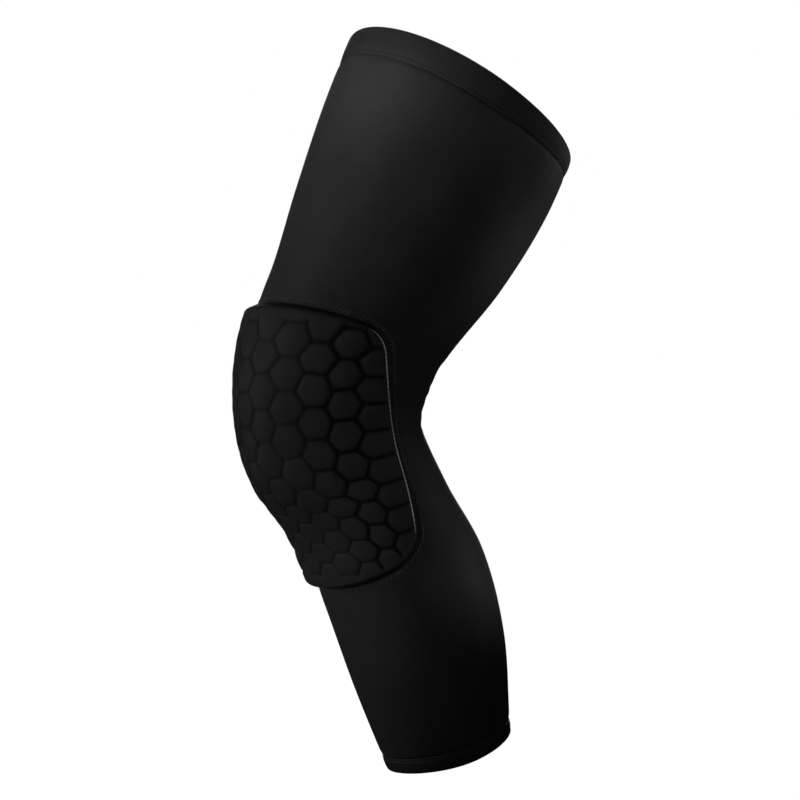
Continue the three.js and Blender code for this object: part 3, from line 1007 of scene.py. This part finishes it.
def make_side_edge(name, side):
    """The strip along one side of the pad: side is 1 on the right and -1 on the left."""
    from_foot = np.roll(np.arange(len(outline)), -np.argmin(outline[:, 1]))
    on_side = (outline[:, 0] * side > EDGE_ENDS["across"]) & (outline[:, 1] > EDGE_ENDS["along"])
    chosen = from_foot[on_side[from_foot]]
    run = np.arange(len(chosen)) * OUTLINE_SPACING
    waist = BEAD_WAIST * (1 - np.cos(2 * math.pi * run / BEAD_LENGTH)) / 2
    width = np.clip(np.minimum(run, run[::-1]) / EDGE_TAPER, EDGE_TIP, 1) * (1 - waist)
    at_corner = np.interp(outline_out[chosen, 1], CORNER_TURN, (0, 1))
    first = EDGE_FIRST + (EDGE_FIRST_AT_CORNER - EDGE_FIRST) * at_corner
    share = np.linspace(-0.5, 0.5, EDGE_ROWS)[:, None]
    row = (first + EDGE_LAST) / 2 + share * (EDGE_LAST - first) * width
    surface = rim_at(row, chosen)
    ahead = np.gradient(surface, axis=0)
    outward = np.stack([ahead[..., 1], -ahead[..., 0]], axis=-1)
    outward /= np.linalg.norm(outward, axis=-1, keepdims=True)
    proud = EDGE_PROUD * np.cos(math.pi * share) * width
    face = surface + outward * proud[..., None]
    back = surface - outward * EDGE_SUNK
    section = np.concatenate([face, back[::-1]])
    places = outline[chosen] + outline_out[chosen] * section[..., :1]
    station, angle = pad_place(places[..., 0], places[..., 1])
    points = leg_point(station, angle, section[..., 1])
    rows, columns = points.shape[:2]
    faces = ring_faces(rows, columns).reshape(rows, columns, 4)[:, :-1, ::-1].reshape(-1, 4).tolist()
    ends = np.arange(rows) * columns
    faces += [ends.tolist(), (ends[::-1] + columns - 1).tolist()]
    counts = np.stack([np.broadcast_to(run, section.shape[:2]), section[..., 0]], axis=-1).reshape(-1, 2)
    return make_piece(name, points, faces, counts[np.concatenate(faces)] / PAD_STITCH_PITCH)


# The strips carry the painted highlight along the pad's sides.
pad_edges = [make_side_edge("pad_edge_right", 1), make_side_edge("pad_edge_left", -1)]
for piece in pad_edges:
    dress(piece, None, painted_edge_highlight)

# %% [markdown]
# ## Thread
# The sewing is polyester thread, smoother than the knit, so it catches small lights. It is black at the thigh
# and grey at the calf and round the pad. It needs no UV map: the twist of its plies is a fine slanted wave on
# the piece's own coordinates.

# %% Thread
THREAD_COLOURS = {"black_thread": (0.020, 0.020, 0.021), "grey_thread": (0.095, 0.095, 0.10)}
THREAD_ROUGHNESS = 0.42
PLY_SCALE = 900.0
PLY_RELIEF = 0.3
PLY_HEIGHT = 0.05 * MM


def thread_material(name, colour):
    material, tree, shader = new_material(name)
    base_colour, dull = uneven_finish(tree, colour, THREAD_ROUGHNESS)
    wave = {"Vector": output_of(tree, "ShaderNodeTexCoord", output="Object"), "Scale": PLY_SCALE}
    plies = output_of(tree, "ShaderNodeTexWave", wave, "Fac", bands_direction="DIAGONAL")
    bump = {"Strength": PLY_RELIEF, "Distance": PLY_HEIGHT, "Height": plies}
    relief = output_of(tree, "ShaderNodeBump", bump)
    feed(tree, shader, {"Base Color": base_colour, "Roughness": dull, "Normal": relief})
    return material


threads = {name: thread_material(name, colour) for name, colour in THREAD_COLOURS.items()}
print("thread materials:", sorted(threads))

# %% [markdown]
# ## Stitches
# A row of stitches is one small shape repeated along a line on the cloth, which is what Geometry Nodes are
# for. The line is a closed loop of points that know which way is out. The tree spaces them at the stitch
# pitch and lays a grain of thread on each, turned along the line. A slant that changes sides makes the zigzag
# that holds the edge of the pad.

# %% Stitch tree
GRAIN_SIDES = 6


def stitch_row_tree():
    sizes = ("Pitch", "Length", "Thread", "Slant")
    tree, given, made = geometry_tree("Stitch row", dict.fromkeys(sizes, "NodeSocketFloat"))

    def aligned(axis, inputs, **settings):
        return output_of(tree, "FunctionNodeAlignRotationToVector", inputs, axis=axis, **settings)

    line = output_of(tree, "GeometryNodeMeshToCurve", {"Mesh": given["Geometry"]})
    spacing = {"Curve": line, "Length": given["Pitch"]}
    spaced = output_of(tree, "GeometryNodeResampleCurve", spacing, mode="LENGTH")
    along = aligned("X", {"Vector": output_of(tree, "GeometryNodeInputTangent")})
    outward = named_field(tree, "outward", "FLOAT_VECTOR")
    upright = aligned("Z", {"Rotation": along, "Vector": outward}, pivot_axis="X")
    number = output_of(tree, "GeometryNodeInputIndex")
    side = math_node(tree, "MULTIPLY_ADD", math_node(tree, "MODULO", number, 2.0), 2.0, -1.0)
    slant = {"Axis": (0, 0, 1), "Angle": math_node(tree, "MULTIPLY", side, given["Slant"])}
    turn = {"Rotation": upright, "Rotate By": output_of(tree, "FunctionNodeAxisAngleToRotation", slant)}
    slanted = output_of(tree, "FunctionNodeRotateRotation", turn, rotation_space="LOCAL")
    ball = {"Segments": GRAIN_SIDES, "Rings": GRAIN_SIDES, "Radius": 0.5}
    grain = output_of(tree, "GeometryNodeMeshUVSphere", ball, "Mesh")
    size = {"X": given["Length"], "Y": given["Thread"], "Z": given["Thread"]}
    stretched = {"Geometry": grain, "Scale": output_of(tree, "ShaderNodeCombineXYZ", size)}
    stitch = output_of(tree, "GeometryNodeTransform", stretched)
    smooth = output_of(tree, "GeometryNodeSetShadeSmooth", {"Geometry": stitch})
    placed = {"Points": spaced, "Instance": smooth, "Rotation": slanted}
    end_tree(tree, output_of(tree, "GeometryNodeInstanceOnPoints", placed), given, made)
    return tree


stitch_row = stitch_row_tree()
print("geometry tree:", stitch_row.name)

# %% Rows of stitches
STRAIGHT = {"Pitch": 2.7 * MM, "Length": 2.4 * MM, "Slant": 0.0}
ZIGZAG = {"Pitch": 1.6 * MM, "Length": 3.0 * MM, "Slant": math.radians(58)}
THREAD_WIDTH = 0.45 * MM
ZIGZAG_END_STEP = 2.4 * MM
ZIGZAG_SIDE_STEP = 4.6 * MM
ROW_POINTS = 480

# Rows on a hem: share of the way from the seam to the rim, and lift in mm.
HEM_ROWS = [(0.03, -0.62), (0.193, -0.16)]


def stitch_lines(name, loops):
    """An object of closed loops of edges. Each loop is stations, angles and a lift on the leg."""
    points = []
    edges = []
    outward = []
    for station, angle, lift in loops:
        first = len(points)
        count = len(angle)
        points += leg_point(station, angle, lift).tolist()
        outward += leg_outward(station, angle).tolist()
        edges += [(first + n, first + (n + 1) % count) for n in range(count)]
    mesh = bpy.data.meshes.new(name)
    mesh.from_pydata(points, edges, [])
    add_field(mesh, "outward", np.array(outward))
    return add_object(name, mesh)


def sew(name, loops, stitch, thread):
    """Stitches along loops on the leg."""
    piece = stitch_lines(name, loops)
    settle(piece, stitch_row, {**stitch, "Thread": THREAD_WIDTH, "Material": thread})
    dress(piece, None, thread)
    return piece


def hem_loops(seam, band_rim):
    """The rows on a hem, as loops for its stitches."""
    angle = np.linspace(0, 2 * math.pi, ROW_POINTS, endpoint=False)
    seam_line = edge_station(seam, angle)
    rim_line = edge_station(band_rim, angle)
    return [(seam_line + share * (rim_line - seam_line), angle, lift * MM) for share, lift in HEM_ROWS]


def pad_loop():
    """The line beside the pad's foot, further out at its sides, as a loop for its stitches."""
    step = ZIGZAG_SIDE_STEP + (ZIGZAG_END_STEP - ZIGZAG_SIDE_STEP) * outline_out[:, 1:] ** 2
    edge = outline + outline_out * (foot_steps + step)
    station, angle = pad_place(edge[:, 0], edge[:, 1])
    return station, angle, 0.0


thigh_loops = hem_loops(THIGH_SEAM, THIGH_RIM)
calf_loops = hem_loops(CALF_SEAM, CALF_RIM)
thigh_stitches = sew("thigh_stitches", thigh_loops, STRAIGHT, threads["black_thread"])
calf_stitches = sew("calf_stitches", calf_loops, STRAIGHT, threads["grey_thread"])
sew("pad_stitches", [pad_loop()], ZIGZAG, threads["grey_thread"])

# %% [markdown]
# ## What the soft pieces are
# The sleeve was cut from a flat piece that is wider at the thigh than at the calf, and it is worn stretched.
# The foam pad is full and firm.

# %% [markdown]
# ## Studio
# Black cloth shows its form only by the little light that it gives back, so each light is weak and has one
# job. Three floods give a low light all round. Narrow beams from the left draw the front of the thigh, the
# knee, the pad and the shin, and fainter ones from the camera and its right fill what would be lost. Cool
# strips from behind on the right draw a rim from the hem down to the calf, and the dark stretch between front
# and rim gives the roundness. One big softbox would be simpler, but it lights every side alike and flattens
# the leg. The floor and the surroundings are plain white to the camera alone, so they don't wash the black
# out.

# %% Lights
WHITE = (1, 1, 1)
COOL = (0.94, 0.92, 1)
FLOOD = 180

# Where a light stands, seen from the object: degrees round from the camera, minus to the left, and degrees
# up. It points at a height over the middle of the picture. Lengths are in metres, powers in watts, and the
# beam is the angle in degrees that the light spreads over.
LIGHT_COLUMNS = ("turn", "up", "height", "distance", "size", "power", "beam")
FLOODS = {
    "left": (-95, 0, 0, 1.5, (0.6, 0.6), 3.1, FLOOD),
    "front": (35, 8, 0.3, 1.2, (1.6, 1.2), 0.6, FLOOD),
    "behind": (180, 15, 0, 1.5, (0.6, 0.6), 14.0, FLOOD),
}
SPOTS = {
    "knee": (-65, 20, 0.10, 1.5, (0.3, 0.3), 0.055, 18),
    "thigh": (-60, 10, 0.24, 1.5, (0.4, 0.2), 0.095, 14),
    "highlight": (-50, 5, 0.21, 1.5, (0.05, 0.05), 0.008, 5),
    "thigh_side": (35, 8, 0.22, 1.5, (0.3, 0.2), 0.018, 8),
    "knee_side": (35, 8, -0.05, 1.5, (0.3, 0.2), 0.002, 8),
    "middle": (0, 8, 0.05, 1.5, (0.3, 0.2), 0.009, 8),
    "pad": (-20, 5, -0.07, 1.5, (0.1, 0.1), 0.005, 8),
    "shin": (-45, 0, -0.14, 1.5, (0.2, 0.1), 0.011, 9),
}
RIMS = {
    "thigh_rim": (125, 0, 0.10, 1.2, (0.2, 0.05), 0.008, 7),
    "hem_rim": (112, 0, 0.18, 1.2, (0.05, 0.05), 0.004, 4),
    "hollow_rim": (95, 0, -0.04, 1.2, (0.1, 0.05), 0.001, 4),
    "calf_rim": (110, 0, -0.12, 1.2, (0.1, 0.05), 0.0026, 4),
    "calf_back": (125, 0, -0.08, 1.2, (0.1, 0.05), 0.0014, 4),
}


def add_light(name, colour, turn, up, height, distance, size, power, beam):
    data = bpy.data.lights.new(name, "AREA")
    data.shape = "RECTANGLE"
    data.size, data.size_y = size
    data.energy = power
    data.spread = math.radians(beam)
    data.color = colour
    lamp = add_object(name, data)
    sideways = math.radians(turn)
    upwards = math.radians(up)
    level_way = view_right * math.sin(sideways) + view_near * math.cos(sideways)
    toward = level_way * math.cos(upwards) + view_up * math.sin(upwards)
    lamp.location = aim + view_up * height + toward * distance
    lamp.rotation_euler = (-toward).to_track_quat("-Z", "Y").to_euler()
    lamp.visible_camera = False


for colour, lights in ((WHITE, FLOODS), (WHITE, SPOTS), (COOL, RIMS)):
    for name, row in lights.items():
        add_light(name, colour, **dict(zip(LIGHT_COLUMNS, row)))
    print("lights:", ", ".join(lights))

# %% Floor and surroundings
FLOOR_DROP = 0.25
FLOOR_HALF = 30
FLOOR_COLOUR = (0.9, 0.9, 0.9)
FLOOR_ROUGHNESS = 0.9
FLOOR_GLOW = 1.0
AMBIENT = 0.011


def add_floor():
    level = cad_box[0].z - FLOOR_DROP
    corners = [(x * FLOOR_HALF, y * FLOOR_HALF, level) for x, y in ((-1, -1), (1, -1), (1, 1), (-1, 1))]
    mesh = bpy.data.meshes.new("floor")
    mesh.from_pydata(corners, [], [(0, 1, 2, 3)])
    floor = add_object("floor", mesh)
    material, tree, shader = new_material("white_floor")
    feed(tree, shader, {
        "Base Color": (*FLOOR_COLOUR, 1),
        "Roughness": FLOOR_ROUGHNESS,
        "Emission Color": (*WHITE, 1),
        "Emission Strength": FLOOR_GLOW,
    })
    mesh.materials.append(material)
    floor.visible_diffuse = False
    floor.visible_glossy = False
    floor.visible_shadow = False
    floor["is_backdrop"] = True


def add_surroundings():
    world = bpy.data.worlds.new("studio")
    world.use_nodes = True
    tree = world.node_tree
    tree.nodes.clear()
    seen = output_of(tree, "ShaderNodeBackground", {"Color": (*WHITE, 1), "Strength": 1.0})
    dim = output_of(tree, "ShaderNodeBackground", {"Color": (*WHITE, 1), "Strength": AMBIENT})
    by_camera = output_of(tree, "ShaderNodeLightPath", output="Is Camera Ray")
    mixed = output_of(tree, "ShaderNodeMixShader", {0: by_camera, 1: dim, 2: seen})
    add_node(tree, "ShaderNodeOutputWorld", {"Surface": mixed})
    bpy.context.scene.world = world


add_floor()
add_surroundings()
bpy.context.scene.view_settings.view_transform = "Standard"
print("floor", FLOOR_DROP, "m below the part")

# %% [markdown]
# ## Size
# Blender dresses the part and must not change its size, so the box of the solids and the box of the dressed
# part are kept side by side.

# %% Size and finish
visual_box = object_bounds()
growth = (visual_box[1] - visual_box[0]) - (cad_box[1] - cad_box[0])
print("growth of the box in mm:", [round(value / MM, 1) for value in growth])
